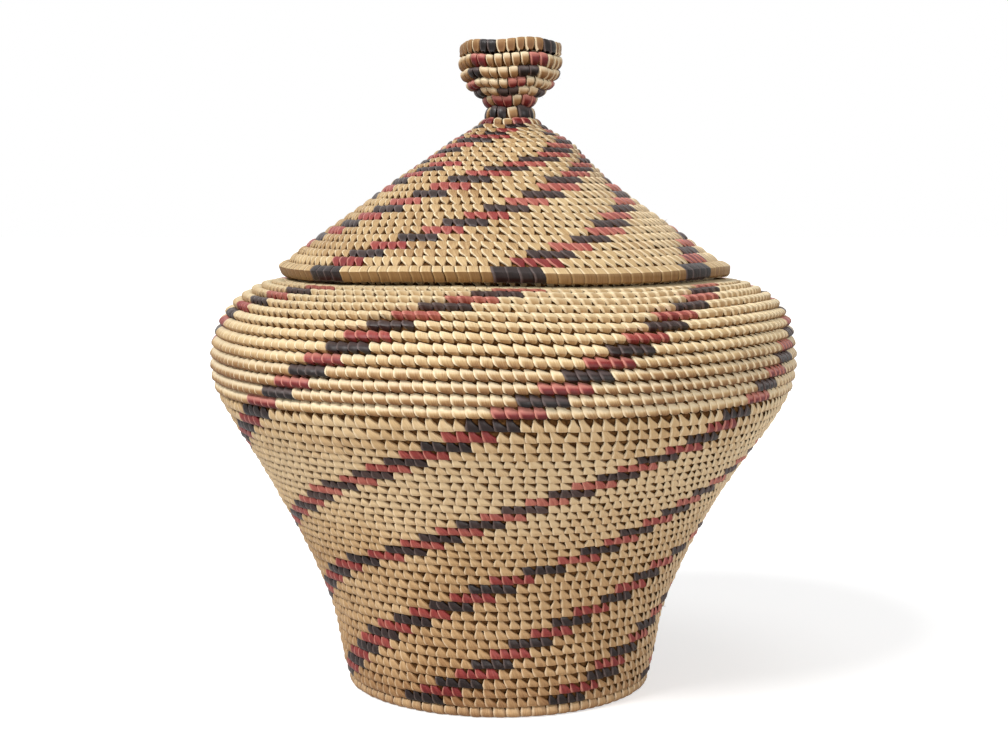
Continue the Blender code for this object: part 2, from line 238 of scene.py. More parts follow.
# Loose tips of splints: the course, counted up from the foot or from the lid's rim, degrees right of
# the front, the length, and how much the tip slants
TIP_PLACES = 6  # places along a tip, out and back again
TIP_WIDTH = 0.0007
TIP_TAPER = 0.7  # how much narrower it gets towards its point
TIP_DROOP = 0.25  # how much it bends back to its coil
TIP_HALF_THICKNESS = SPLINT / 3
TIP_ROOT = (0.2, 0.9)  # where a tip leaves its coil, across the course and out
BODY_TIPS = ((41, 70, 0.0016, 0.4), (33, 74, 0.0018, -0.3), (7, 72, 0.0022, 0.5), (24, -140, 0.0017, 0.5))
LID_TIPS = ((2, -70, 0.0016, -0.4), (6, 74, 0.0020, 0.5), (30, 78, 0.0020, 0.3), (28, 80, 0.0020, 0.5))

# Bands of dyed stitches. A band's middle is given at some courses, counted up from the foot or from the
# lid's rim, as degrees right of the front. The next band follows after an equal part of the turn.
NATURAL_DYE, RED_DYE, DARK_DYE = 0, 1, 2
BANDS = 7
KNOB_BANDS = 5
BLOCK = 4  # stitches of a band in a course
BLOCK_SHARE = 0.55  # most that the bands take of a course
KNOB_BLOCK = 2  # stitches of a band in a course of the knob
ENDED_BANDS, ENDED_FROM = (1, 4), 16  # bands that end on the cone, and the lid's first course without them
BODY_BAND_PLACES = (
    (0, -231.8), (1, -225.5), (3, -213.0), (5, -201.7), (7, -188.5), (11, -161.5), (13, -150.2),
    (15, -132.4), (18, -117.0), (21, -101.6), (25, -82.8), (29, -66.0), (33, -48.7), (37, -33.0),
    (41, -17.0), (43, -6.7), (45, 2.9),
)
LID_BAND_PLACES = (
    (0, 3.0), (2, 12.6), (6, 39.8), (8, 53.4), (10, 69.6), (12, 86.0), (14, 104.7), (17, 137.0), (21, 182.0),
)
KNOB_BAND_PLACES = ((22, -18.3), (24, 9.0), (26, 38.0), (28, 68.5), (30, 93.0), (32, 115.0))

# Tones of the stitches
# Part of these tones is painted light: the flared wall is made paler to stand in for light bounced up from
# the white floor.
TONES = (  # heights, and how much paler than usual the natural and the dyed stitches are there
    (0.0, -0.6, -0.6), (0.012, -0.5, -0.5), (0.022, -0.1, -0.3), (0.055, 0.1, -0.2), (0.068, 1.0, 0.4),
    (0.080, 1.5, 0.8), (0.090, 1.4, 0.6), (0.098, 0.9, -0.2), (0.109, 0.7, -0.5), (0.1105, -0.6, -1.2),
    (0.118, -1.2, -1.3), (0.126, -0.1, -0.8), (0.147, 2.2, 1.5), (0.149, 0.4, -0.5), (0.154, 0.2, -0.6),
    (0.156, -0.4, 0.4), (0.195, -0.4, 0.3), (0.205, -1.5, -1.8),
)
PLUMP_SHADES = ((0.118, 1.3), (0.134, 0.55))  # heights, and how strongly a plump stitch is shaded there
RUN = 19  # stitches sewn with one splint
RUN_SHARE = 0.5  # how much of a stitch's tint it shares with the others of its splint

# Colours of the splints and of the grass, from the darkest to the palest
NATURAL = (
    (0.20, (0.38, 0.22, 0.09)), (0.45, (0.62, 0.44, 0.22)), (0.65, (0.75, 0.57, 0.315)),
    (0.9, (0.88, 0.74, 0.47)),
)
RED = ((0.2, (0.17, 0.010, 0.011)), (0.5, (0.33, 0.046, 0.039)), (0.9, (0.58, 0.21, 0.155)))
DARK = ((0.2, (0.008, 0.002, 0.001)), (0.55, (0.026, 0.011, 0.009)), (0.9, (0.085, 0.048, 0.042)))
# The grass is given its own brown, darkened further as painted shade for the holes between the stitches
SHADED_GRASS = ((0.3, (0.04, 0.015, 0.004)), (0.55, (0.10, 0.043, 0.012)), (0.75, (0.19, 0.095, 0.032)))

# The painted shade on one edge of a splint, its painted highlight, and its roughness
NATURAL_EDGE_SHADE, NATURAL_HIGHLIGHT, NATURAL_ROUGHNESS = (0.17, 0.075, 0.022), (0.92, 0.80, 0.56), 0.52
RIM_HIGHLIGHT = (0.85, 0.70, 0.46)
RED_EDGE_SHADE, RED_HIGHLIGHT, RED_ROUGHNESS = (0.12, 0.010, 0.010), (0.66, 0.28, 0.22), 0.42
DARK_EDGE_SHADE, DARK_HIGHLIGHT, DARK_ROUGHNESS = (0.006, 0.003, 0.003), (0.14, 0.105, 0.10), 0.36

# What those colours are multiplied by: painted shade where a splint faces down, painted shade at one end of a
# shaded form together with a darkening of every splint's middle, and a darkening towards the bottom. The
# spans are of the normal's Z and of the height, from where the darkening begins to where it is full.
UNDERSIDE_SHADE, UNDERSIDE_SHADE_SPAN = (0.84, 0.77, 0.72), (0.55, -0.55)
RIM_UNDERSIDE_SHADE, RIM_UNDERSIDE_SHADE_SPAN = (0.37, 0.27, 0.165), (0.55, -0.1)
SHADED_END_AND_MIDDLE = (0.46, 0.35, 0.25)
LOW_DARKENING, LOW_DARKENING_SPAN, LOW_DARKENING_MOST = (0.80, 0.68, 0.62), (0.13, 0.0), 0.8

# Where the painted shade and painted highlight at a splint's edges and ends, and the darkening of its middle,
# begin and are full, and how much of the colour they cover there. An edge's span is across the splint,
# between
# -1 and 1, an end's is along it, times the form's shading, and the middle's is how far to either side of it.
SHADED_EDGE_SPAN, SHADED_EDGE_MOST = (0.62, 1.0), 0.8
HIGHLIT_EDGE_SPAN, HIGHLIT_EDGE_MOST = (-0.50, -0.85), 0.85
HIGHLIT_END_SPAN, HIGHLIT_END_MOST = (0.15, 0.8), 0.7
SHADED_END_SPAN = (0.4, -0.6)
DARKER_MIDDLE_SPAN = (0.92, 0.55)

# Grain of the splints and of the grass. A splint's place among its colours is the sum of its streaks,
# blotches and tint, each times its share, and of the start.
STREAK_SCALE = (4200, 260, 40)  # across and along a splint, and from one tint to another
TINT_STRETCH = 3  # sets the streaks of stitches with unlike tints apart
STREAK_DETAIL, STREAK_SHARE = 4, 0.85
BLOTCH_SCALE, BLOTCH_DETAIL, BLOTCH_SHARE = 38, 3, 0.55
TINT_SHARE = 0.26
TONE_START = -0.33
SHINIER, DULLER = 0.10, 0.14  # how far the streaks take the roughness down and up
STREAK_STRENGTH, STREAK_DEPTH = 0.7, 0.00016
SPLINT_SPECULAR = 0.32
GRASS_SCALE, GRASS_DETAIL = 900, 3
GRASS_STRENGTH, GRASS_DEPTH = 0.6, 0.0003
GRASS_ROUGHNESS, GRASS_SPECULAR = 0.85, 0.08

# Room that is kept free round each stitch's cell in the texture, and round each row of the filling's
CELL_MARGIN_U, CELL_MARGIN_V, FILLING_MARGIN = 0.04, 0.03, 0.05
CORNER_U, CORNER_V = np.array([0, 1, 1, 0]), np.array([0, 0, 1, 1])  # the four corners of a face

# The camera, where the photograph was taken from
IMAGE_WIDTH = 1008
SENSOR_WIDTH = 36
FOCAL_PIXELS = 1700
CAMERA_AWAY = 0.6169
CAMERA_HEIGHT = 0.1708
CAMERA_DIP = math.radians(5.544)
CLIP_START, CLIP_END = 0.05, 30

# The studio
LIGHT_AIM = (0, 0, 0.1)
LIGHTS = (  # name, place, size and power
    ("key_light", (-1.00, -1.05, 1.50), 0.8, 34),
    ("top_light", (0.0, -0.2, 1.7), 0.9, 3),
    ("fill_light", (0.9, -1.5, 0.35), 1.0, 13),
)
WORLD_LIGHT = 0.34
FLOOR_SIZE, FLOOR_PLACE = 14, (0, 4, 0)
PAPER, PAPER_ROUGHNESS, PAPER_SPECULAR = (0.80, 0.80, 0.80, 1), 0.9, 0.1
WHITE = (1, 1, 1, 1)
GLOW_SPAN, GLOW = (0.18, 0.8), (0.54, 1.0)  # distances from the middle, and the floor's own light there

# A course is one turn of a coil. Its lean is the way to the next course, as an angle up from straight out.
Course = namedtuple("Course", "zone radius height lean pitch coil stitch form")
# A strand is a whole coil. Its side is 1 where its outside lies to the left of the way to the next
# course, and -1 where it lies to the right. Lowest is the turn that bands and tips are counted from.
Strand = namedtuple("Strand", "courses table side climbs lowest")
# How the bands cross a turn: its row, their places, whether the rows grow (1) or fall (-1) from turn to
# turn, how many bands there are, how many stitches each has, and which of them have ended
Band = namedtuple("Band", "row places sense bands block ended")
# A batch is some stitches, with the points of each and what its colour needs
Batch = namedtuple("Batch", "points cells dye tint fibre edge")


def read(table, value, column=1):
    """The number in a column of a table, at a value of its first column."""
    return np.interp(value, [row[0] for row in table], [row[column] for row in table])


def smooth_path(stations):
    """Dense samples (arc, radius, height, heading) through (radius, height, heading) stations."""
    rows = []
    for first, second in zip(stations, stations[1:]):
        start, end = np.array(first[:2]), np.array(second[:2])
        chord = np.linalg.norm(end - start)
        leave = chord * np.array([math.cos(first[2]), math.sin(first[2])])
        arrive = chord * np.array([math.cos(second[2]), math.sin(second[2])])
        for step in range(1 if rows else 0, CURVE_STEPS + 1):
            t = step / CURVE_STEPS
            spot = (2 * t**3 - 3 * t**2 + 1) * start + (t**3 - 2 * t**2 + t) * leave
            spot += (3 * t**2 - 2 * t**3) * end + (t**3 - t**2) * arrive
            slope = (6 * t**2 - 6 * t) * start + (3 * t**2 - 4 * t + 1) * leave
            slope += (6 * t - 6 * t**2) * end + (3 * t**2 - 2 * t) * arrive
            arc = rows[-1][0] + math.hypot(*(spot - rows[-1][1:3])) if rows else 0
            rows.append((arc, spot[0], spot[1], math.atan2(slope[1], slope[0])))
    return np.array(rows)


def on_path(path, arc, depth):
    """Radius, height and heading at a place along a path, a depth inside it."""
    radius, height, heading = (np.interp(arc, path[:, 0], path[:, column]) for column in (1, 2, 3))
    return radius - depth * math.sin(heading), height + depth * math.cos(heading), heading


def wall_path():
    """The outside of the wall, from the foot to the mouth."""
    away = FOOT_COIL / 2 + SEAM
    radius = FOOT_RADIUS - FOOT_COIL / 2 + away * math.cos(FOOT_LEAN) + COIL / 2 * math.sin(FOOT_LEAN)
    height = FOOT_COIL / 2 - FOOT_FLAT + away * math.sin(FOOT_LEAN) - COIL / 2 * math.cos(FOOT_LEAN)
    stations = [(radius, height, FOOT_LEAN)]
    for swell, rise, lean in (
        (SHIN_SWELL, SHIN_RISE, SHIN_LEAN),
        (FLARE_SWELL, FLARE_RISE, FLARE_LEAN),
        (BELLY_SWELL, BELLY_RISE, BELLY_LEAN),
        (-SHOULDER_DRAW, SHOULDER_RISE, SHOULDER_LEAN),
        (-MOUTH_DRAW, MOUTH_RISE, MOUTH_LEAN),
    ):
        radius += swell
        height += rise
        stations.append((radius, height, lean))
    return smooth_path(stations)


def lid_path(rim_radius, foot):
    """The outside of the lid, from its rim to the top of the knob's cheek."""
    away = RIM_COIL / 2 + SEAM
    radius = rim_radius + away * math.cos(RIM_LEAN) + COIL / 2 * math.sin(RIM_LEAN)
    height = foot + RIM_COIL / 2 + away * math.sin(RIM_LEAN) - COIL / 2 * math.cos(RIM_LEAN)
    stations = [(radius, height, RIM_LEAN)]
    for out_share, up_share, lean in (
        (EAVE_OUT_SHARE, EAVE_UP_SHARE, EAVE_LEAN),
        (PEAK_OUT_SHARE, PEAK_UP_SHARE, PEAK_LEAN),
        (0, 1, NECK_LEAN),
    ):
        out = NECK_RADIUS + out_share * (radius - NECK_RADIUS)
        stations.append((out, height + up_share * CONE_RISE, lean))
    for swell, rise, lean in ((CUP_SWELL, CUP_RISE, CUP_LEAN), (CHEEK_SWELL, CHEEK_RISE, CHEEK_LEAN)):
        before = stations[-1]
        stations.append((before[0] + swell, before[1] + rise, lean))
    return smooth_path(stations)


def flat_spiral(zone, edge, count, height, stitch):
    """The courses of a flat spiral, from its middle to its edge."""
    pitch = edge / count
    return [
        Course(zone, (turn + 0.5) * pitch, height, 0, pitch, COIL, stitch, "flat") for turn in range(count)
    ]


def body_courses():
    """Every course of the basket, from the middle of the base to the mouth."""
    edge = FOOT_RADIUS - FOOT_COIL - SEAM
    count = round((edge - BUTTON_RADIUS / 2) / BASE_COURSE)
    courses = flat_spiral("base", edge, count, COIL / 2, WRAP_STITCH)
    courses.append(Course(
        "foot", FOOT_RADIUS - FOOT_COIL / 2, FOOT_COIL / 2, FOOT_LEAN / 2, FOOT_COIL, FOOT_COIL,
        WRAP_STITCH, "arch",
    ))
    belly_forms = ["flat"] * FLAT_BELLY_COURSES + ["plump"] * (BELLY_COURSES - FLAT_BELLY_COURSES)
    path = wall_path()
    length = path[-1, 0]
    start = 0
    for zone, share, forms in (
        ("lower_wall", LOWER_SHARE, ["tooth"] * LOWER_COURSES),
        ("flared_wall", FLARED_SHARE, ["flat"] * FLARED_COURSES),
        ("belly", BELLY_SHARE, belly_forms),
        ("shoulder", SHOULDER_SHARE, ["plump"] * SHOULDER_COURSES),
    ):
        pitch = share * length / len(forms)
        for turn, form in enumerate(forms):
            radius, height, heading = on_path(path, start + (turn + 0.5) * pitch, COIL / 2)
            stitch = read(WALL_STITCHES, height)
            upper = "_upper" if zone == "flared_wall" and turn >= len(forms) / 2 else ""
            courses.append(Course(zone + upper, radius, height, heading, pitch, COIL, stitch, form))
        start += share * length
    edge_radius, edge_height, _ = on_path(path, length, COIL / 2)
    away = COIL / 2 + SEAM
    courses.append(Course(
        "mouth", edge_radius + away * math.cos(MOUTH_LEAN), edge_height + away * math.sin(MOUTH_LEAN),
        MOUTH_LEAN, COIL, COIL, WRAP_STITCH, "wrap",
    ))
    return courses


def lid_courses(mouth):
    """Every course of the lid, from the middle of the knob's top to the rim."""
    foot = mouth.height + COIL / 2 + SEAM
    rim_radius = mouth.radius + RIM_OVERHANG
    path = lid_path(rim_radius, foot)
    length = path[-1, 0]
    narrowest = path[np.argmin(path[:, 1]), 0]
    neck_foot, neck_top = narrowest - NECK_SPAN / 2, narrowest + NECK_SPAN / 2
    cone_split = neck_foot * CONE_SPLIT_SHARE
    edge_radius, edge_height, _ = on_path(path, length, COIL / 2)
    knob_radius = edge_radius - KNOB_RIM_DRAW
    knob_height = edge_height + SEAM + KNOB_RIM_COIL / 2
    top_height = knob_height + KNOB_RIM_COIL / 2 - SPLINT * 2 - COIL / 2
    courses = flat_spiral("knob", knob_radius - KNOB_RIM_COIL / 2, TOP_COURSES, top_height, LID_STITCH)
    courses.append(Course(
        "knob", knob_radius, knob_height, KNOB_RIM_LEAN, KNOB_RIM_COIL, KNOB_RIM_COIL, KNOB_STITCH, "cap",
    ))
    for zone, first, last, count, stitch, form in (
        ("knob", length, neck_top, CUP_COURSES, KNOB_STITCH, "leaf"),
        ("knob", neck_top, neck_foot, NECK_COURSES, KNOB_STITCH, "leaf"),
        ("cone_upper", neck_foot, cone_split, CONE_UPPER_COURSES, LID_STITCH, "full"),
        ("cone_lower", cone_split, 0, CONE_LOWER_COURSES, LID_STITCH, "full"),
    ):
        pitch = (first - last) / count
        for turn in range(count):
            radius, height, heading = on_path(path, first - (turn + 0.5) * pitch, COIL / 2)
            courses.append(Course(zone, radius, height, heading - math.pi, pitch, COIL, stitch, form))
    courses.append(Course(
        "rim", rim_radius, foot + RIM_COIL / 2, RIM_LEAN - math.pi, RIM_COIL, RIM_COIL, WRAP_STITCH, "square",
    ))
    return courses


def ring_courses():
    """The courses of the ring under the lid, from the top down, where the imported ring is."""
    low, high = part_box("lid_locating_ring")
    pitch = (high.z - low.z) / (RING_COURSES + RING_SPARE)
    radius = high.x - COIL / 2
    courses = []
    for turn in range(RING_COURSES):
        height = low.z + (RING_COURSES - 0.5 - turn) * pitch
        courses.append(Course("ring", radius, height, -math.pi / 2, pitch, COIL, LID_STITCH, "flat"))
    return courses


def strand_of(courses, side, climbs=True, lowest=0):
    """A coil with a table of its courses: radius, height, lean, the way out, half width and half thickness.

    Half the width of a course is half the way between its neighbours' middles.
    """
    middles = np.array([(c.radius, c.height) for c in courses])
    gaps = np.hypot(*np.diff(middles, axis=0).T)
    widths = np.concatenate([[courses[0].pitch], (gaps[:-1] + gaps[1:]) / 2, [courses[-1].pitch]])
    table = np.array([
        (c.radius, c.height, c.lean, c.lean + side * math.pi / 2, width / 2, c.coil / 2)
        for c, width in zip(courses, widths)
    ])
    return Strand(courses, table.T, side, climbs, lowest)


def climb(angle):
    """Share of the climb to the next course that is done at an angle along the turn."""
    share = np.clip((angle - CLIMB_START) / CLIMB_SPAN, 0, 1)
    return share * share * (3 - 2 * share)


def handmade(rho, z, angle):
    """Points of a round form, with the small unevenness of work done by hand and its slight lean."""
    swell = np.zeros_like(rho)
    drop = np.zeros_like(rho)
    for waves, rate, first, second in WOBBLES:
        swell += np.sin(waves * angle + rate * z + first)
        drop += np.sin(waves * angle + DROP_RATE_SHARE * rate * z + second)
    calm = np.clip(z / CALM_HEIGHT, 0, 1)
    rho = rho + WOBBLE * swell
    z = np.maximum(z + WOBBLE * drop * calm, 0)
    return np.stack([rho * np.sin(angle) + read(LEANS, z), -rho * np.cos(angle), z - read(DROPS, z)], axis=-1)


def lay(strand, turn, angle, across, out, lift):
    """Points at an angle along a turn: across the course, out from its middle, and lifted off it."""
    last = len(strand.courses) - 1
    share = climb(angle) if strand.climbs else np.zeros_like(angle)
    radius, height, lean, face, half, thick = (
        np.interp(turn + share, np.arange(last + 1), row) for row in strand.table
    )
    if strand.climbs and turn == last:
        across = share + across * (1 - share)
        thick = thick * (1 - END_THINNING * share)
    rise = half * across
    reach = thick * out + lift
    rho = radius + rise * np.cos(lean) + reach * np.cos(face)
    z = height + rise * np.sin(lean) + reach * np.sin(face)
    return handmade(rho, z, angle)


def row_of(strand, turn):
    """The number of a turn, counted up from the strand's lowest."""
    return strand.side * (strand.lowest - turn)


def band_turn(places, row):
    """Middle of a band at a row, in radians."""
    return np.radians(read(places, row))


def body_band(strand, turn, count):
    """Where the bands cross a turn of the basket, if they do."""
    row = row_of(strand, turn)
    if row < 0 or strand.courses[turn].zone == "mouth":
        return None
    return Band(row, BODY_BAND_PLACES, 1, BANDS, BLOCK, ())


def lid_band(strand, turn, count):
    """Where the bands cross a turn of the lid, if they do."""
    row = row_of(strand, turn)
    if turn < TOP_COURSES:
        return None
    if row >= KNOB_BAND_PLACES[0][0]:
        return Band(row, KNOB_BAND_PLACES, -1, KNOB_BANDS, KNOB_BLOCK, ())
    ended = ENDED_BANDS if row >= ENDED_FROM else ()
    block = min(BLOCK, round(BLOCK_SHARE * count / (BANDS - len(ended))))
    return Band(row, LID_BAND_PLACES, -1, BANDS, block, ended)


def no_band(strand, turn, count):
    """The ring under the lid has no bands."""
    return None


def centred(edges, band):
    """The edges of a turn's stitches, moved by up to half a stitch to suit the band at the front."""
    spacing = math.tau / band.bands
    front = (band_turn(band.places, band.row) + spacing / 2) % spacing - spacing / 2
    marks = edges if band.block % 2 == 0 else (edges[:-1] + edges[1:]) / 2
    nearest = marks[np.argmin(np.abs(marks - front))]
    return edges + (front - nearest) * np.cos(edges / 2) ** 2


def dyes(middle, band):
    """The dye of each stitch of a turn. Red and dark take turns, course by course."""
    dye = np.full(len(middle), NATURAL_DYE)
    if band is None:
        return dye
    centre = band_turn(band.places, band.row + band.sense * climb(middle))
    for number in set(range(band.bands)) - set(band.ended):
        away = (middle - centre - number / band.bands * math.tau + math.pi) % math.tau - math.pi
        dye[np.argsort(np.abs(away))[:band.block]] = RED_DYE if band.row % 2 else DARK_DYE
    return dye


def uneven(count, spread):
    """A factor near 1 for each stitch."""
    return 1 + spread * random.standard_normal(count)


def tints(course, dye):
    """How pale each stitch of a course is."""
    count = len(dye)
    splints = random.uniform(0, 1, count // RUN + 2)
    shared = splints[(np.arange(count) + random.integers(0, RUN)) // RUN]
    tint = RUN_SHARE * shared + (1 - RUN_SHARE) * random.uniform(0, 1, count)
    return tint + np.where(dye == NATURAL_DYE, read(TONES, course.height, 1), read(TONES, course.height, 2))


def stitch_points(strand, turn, middle, half, dye):
    """Points of the stitches of a turn, with the place of each in its fibre and from edge to edge."""
    course = strand.courses[turn]
    form = FORMS[course.form]
    count = len(middle)
    middle, half, across = middle[:, None, None], half[:, None, None], ACROSS[None, None, :]
    y, out, width, lean = (row[None, :, None] for row in form.table)
    narrowing = np.where(dye == NATURAL_DYE, 1.0, DYED_NARROWING) * uneven(count, NARROWING_SPREAD)
    width = WIDEST - (WIDEST - width) * np.clip(narrowing, *NARROWING_LIMITS)[:, None, None]
    wide = half * width * uneven(count, WIDTH_SPREAD)[:, None, None]
    leaning = -strand.side * lean * uneven(count, LEAN_SPREAD)[:, None, None]
    angle = middle + wide * across + 2 * half * leaning

    shading = form.shading * (read(PLUMP_SHADES, course.height) if course.form == "plump" else 1)
    edge = np.stack(np.broadcast_arrays(across, shading * y, angle)[:2], axis=-1)
    along = np.cumsum(np.concatenate([[0], np.hypot(np.diff(form.table[0]), np.diff(form.table[1]))]))
    fibre = np.empty(edge.shape)
    fibre[..., 0] = across * course.stitch / 2 * width
    fibre[..., 1] = (along * COIL / 2)[None, :, None]

    old_end, new_end = np.clip(-y - END_SHARE, 0, 1), np.clip(y - END_SHARE, 0, 1)
    reach = np.where(y < -TIP_SHARE, uneven(count, REACH_SPREAD)[:, None, None], 1)
    y = y * reach + old_end * (form.skew * across * strand.side + form.rounding * across**2)
    y = y + new_end * form.slope * across * strand.side
    thickness = SPLINT * uneven(count, THICKNESS_SPREAD)[:, None, None]
    lift = thickness * (1 - (1 + form.drop) * EDGE_DROP) + form.crown * (1 - across**2) * (out > 0)
    lift = lift + form.overlay * uneven(count, OVERLAY_SPREAD)[:, None, None] * across
    lift = lift - (SPLINT + form.crown * CROWN_SINK) * np.sign(out)
    return lay(strand, turn, angle, y, out, lift), fibre, edge


def stitch_turn(strand, turn, band_of):
    """All the stitches of one turn."""
    course = strand.courses[turn]
    count = max(FEWEST_STITCHES, round(math.tau * course.radius / course.stitch))
    rooms = uneven(count, ROOM_SPREAD)
    edges = TURN_START + np.concatenate([[0], np.cumsum(rooms)]) / rooms.sum() * math.tau
    band = band_of(strand, turn, count)
    if band:
        edges = centred(edges, band)
    middle = (edges[:-1] + edges[1:]) / 2
    dye = dyes(middle, band)
    points, fibre, edge = stitch_points(strand, turn, middle, np.diff(edges) / 2, dye)
    cells = np.stack([np.full(count, turn), np.arange(count), np.full(count, count)], axis=1)
    return Batch(points, cells, dye, tints(course, dye), fibre, edge)


def joined(batches, dye):
    """The stitches of one dye in several batches, as one batch."""
    picked = [[part[batch.dye == dye] for part in batch] for batch in batches]
    return Batch(*(np.concatenate(parts) for parts in zip(*picked)))


def quad_mesh(name, points, quads):
    """A mesh of faces with four corners each."""
    mesh = bpy.data.meshes.new(name)
    mesh.vertices.add(points.size // 3)
    mesh.vertices.foreach_set("co", points.reshape(-1).astype(np.float32))
    mesh.loops.add(quads.size)
    mesh.loops.foreach_set("vertex_index", quads.reshape(-1).astype(np.int32))
    mesh.polygons.add(len(quads))
    mesh.polygons.foreach_set("loop_start", np.arange(0, quads.size, 4, dtype=np.int32))
    mesh.update()
    return mesh


def add_uvs(mesh, uvs):
    layer = mesh.uv_layers.new(name="OFBake")
    layer.data.foreach_set("uv", uvs.reshape(-1).astype(np.float32))


def add_vectors(mesh, name, places, last=0.0):
    """A vector at each point of a mesh: two numbers that are given for it, and a last one."""
    vectors = np.empty((*places.shape[:-1], 3))
    vectors[..., :2] = places
    vectors[..., 2] = last
    layer = mesh.attributes.new(name, "FLOAT_VECTOR", "POINT")
    layer.data.foreach_set("vector", vectors.reshape(-1).astype(np.float32))


def strips_mesh(name, batch, cell_of):
    """A mesh of closed strips, one for each stitch."""
    count, places, columns = batch.points.shape[:3]
    grid = np.arange(places * columns).reshape(places, columns)
    around = np.roll(grid, -1, axis=0)
    quads = np.stack([grid[:, :-1], grid[:, 1:], around[:, 1:], around[:, :-1]], axis=-1).reshape(-1, 4)
    quads = (quads[None] + (np.arange(count) * grid.size)[:, None, None]).reshape(-1, 4)
    mesh = quad_mesh(name, batch.points, quads)
    mesh.validate()
    column = np.arange(columns - 1)[None, :, None] + CORNER_U
    place = np.arange(places)[:, None, None] + CORNER_V
    corner, step = (part[:, :, None, None, None] for part in cell_of(batch))
    uvs = np.empty((count, places, columns - 1, 4, 2))
    uvs[..., 0] = corner[:, 0] + step[:, 0] * (
        CELL_MARGIN_U + (1 - 2 * CELL_MARGIN_U) * column / (columns - 1)
    )
    uvs[..., 1] = corner[:, 1] + step[:, 1] * (CELL_MARGIN_V + (1 - 2 * CELL_MARGIN_V) * place / places)
    add_uvs(mesh, uvs)
    tint = mesh.attributes.new("tint", "FLOAT", "POINT")
    tint.data.foreach_set("value", np.repeat(batch.tint, grid.size).astype(np.float32))
    add_vectors(mesh, "fibre", batch.fibre, batch.tint[:, None, None] * TINT_STRETCH)
    add_vectors(mesh, "edge", batch.edge)
    mesh.shade_smooth()
    mesh.set_sharp_from_angle(angle=CREASE)
    return mesh


def rows_cells(batch):
    """Texture cells laid out as the stitches lie: a row for each turn."""
    turn, number, count = batch.cells.T
    rows = turn.max() - turn.min() + 1
    step = np.stack([1 / count, np.full(len(count), 1 / rows)], axis=1)
    corner = np.stack([number * step[:, 0], (turn - turn.min()) / rows], axis=1)
    return corner, step


def grid_cells(batch):
    """Texture cells in a square grid, one for each stitch."""
    count = len(batch.cells)
    side = math.ceil(math.sqrt(count))
    index = np.arange(count)
    corner = np.stack([index % side / side, index // side / side], axis=1)
    return corner, np.full((count, 2), 1 / side)


def squared(wave):
    """A wave between -1 and 1, made fuller."""
    return np.sign(wave) * np.abs(wave) ** FILLING_SQUARENESS


def filling_mesh(name, strand):
    """The bundle of grass inside the stitches of a strand."""
    points, quads, uvs = [], [], []
    total = 0
    around = np.arange(FILLING_SIDES) / FILLING_SIDES * math.tau
    out = squared(np.sin(around))
    side = np.arange(FILLING_SIDES)[None, :, None] + CORNER_V
    for turn, course in enumerate(strand.courses):
        form = FORMS[course.form]
        steps = round(math.tau * course.radius / course.stitch / FILLING_STITCHES)
        steps = max(FEWEST_FILLING_STEPS, steps)
        angle = (TURN_START + np.arange(steps + 1) / steps * math.tau)[:, None]
        y = squared(np.cos(around)) * np.where(out > FILLING_FACE, form.filling, form.lining)
        points.append(lay(strand, turn, angle, y, out * FILLING_OUT, -FILLING_GAP * out).reshape(-1, 3))
        grid = np.arange((steps + 1) * FILLING_SIDES).reshape(steps + 1, FILLING_SIDES) + total
        beside = np.roll(grid, -1, axis=1)
        quads.append(np.stack([grid[:-1], grid[1:], beside[1:], beside[:-1]], axis=-1).reshape(-1, 4))
        step = np.arange(steps)[:, None, None] + CORNER_U
        uv = np.empty((steps, FILLING_SIDES, 4, 2))
        uv[..., 0] = step / steps
        uv[..., 1] = turn + FILLING_MARGIN + (1 - 2 * FILLING_MARGIN) * side / FILLING_SIDES
        uv[..., 1] /= len(strand.courses)
        uvs.append(uv.reshape(-1, 2))
        total += grid.size
    mesh = quad_mesh(name, np.concatenate(points), np.concatenate(quads))
    add_uvs(mesh, np.concatenate(uvs))
    mesh.shade_smooth()
    return mesh


def feed(tree, target, inputs):
    """Sets inputs of a node, each to a number, a colour or another node's output."""
    for key, value in inputs.items():
        if isinstance(value, bpy.types.NodeSocket):
            tree.links.new(value, target.inputs[key])
        else:
            target.inputs[key].default_value = value


def node(tree, kind, inputs=None, **settings):
    made = tree.nodes.new(kind)
    for name, value in settings.items():
        setattr(made, name, value)
    feed(tree, made, inputs or {})
    return made


def reckon(tree, operation, *values):
    """The outcome of a sum on numbers or outputs."""
    return node(tree, "ShaderNodeMath", dict(enumerate(values)), operation=operation).outputs[0]


def noise(tree, vector, scale, detail):
    inputs = {"Vector": vector, "Scale": scale, "Detail": detail}
    return node(tree, "ShaderNodeTexNoise", inputs).outputs["Fac"]


def fade(tree, value, span, low=0.0, high=1.0, kind="LINEAR"):
    """A number that goes from low to high while a value crosses a span."""
    inputs = {"Value": value, "From Min": span[0], "From Max": span[1], "To Min": low, "To Max": high}
    return node(tree, "ShaderNodeMapRange", inputs, interpolation_type=kind).outputs["Result"]


def mixed(tree, base, colour, share, blend="MIX"):
    """A colour laid over a base, or multiplied with it, as far as a share says."""
    inputs = {"A": base, "B": (*colour, 1), "Factor": share}
    return node(tree, "ShaderNodeMix", inputs, data_type="RGBA", blend_type=blend).outputs["Result"]


def bumps(tree, height, strength, depth):
    inputs = {"Height": height, "Strength": strength, "Distance": depth}
    return node(tree, "ShaderNodeBump", inputs).outputs["Normal"]


def ramp(tree, value, stops):
    """The colour that a value picks between some stops."""
    made = node(tree, "ShaderNodeValToRGB", {"Fac": value})
    elements = made.color_ramp.elements
    while len(elements) < len(stops):
        elements.new(0.5)
    for element, (place, colour) in zip(elements, stops):
        element.position = place
        element.color = (*colour, 1)
    return made.outputs["Color"]


def new_material(name):
    """A material with its node tree and its shader."""
    material = bpy.data.materials.new(name)
    material.use_nodes = True
    return material, material.node_tree, material.node_tree.nodes["Principled BSDF"]


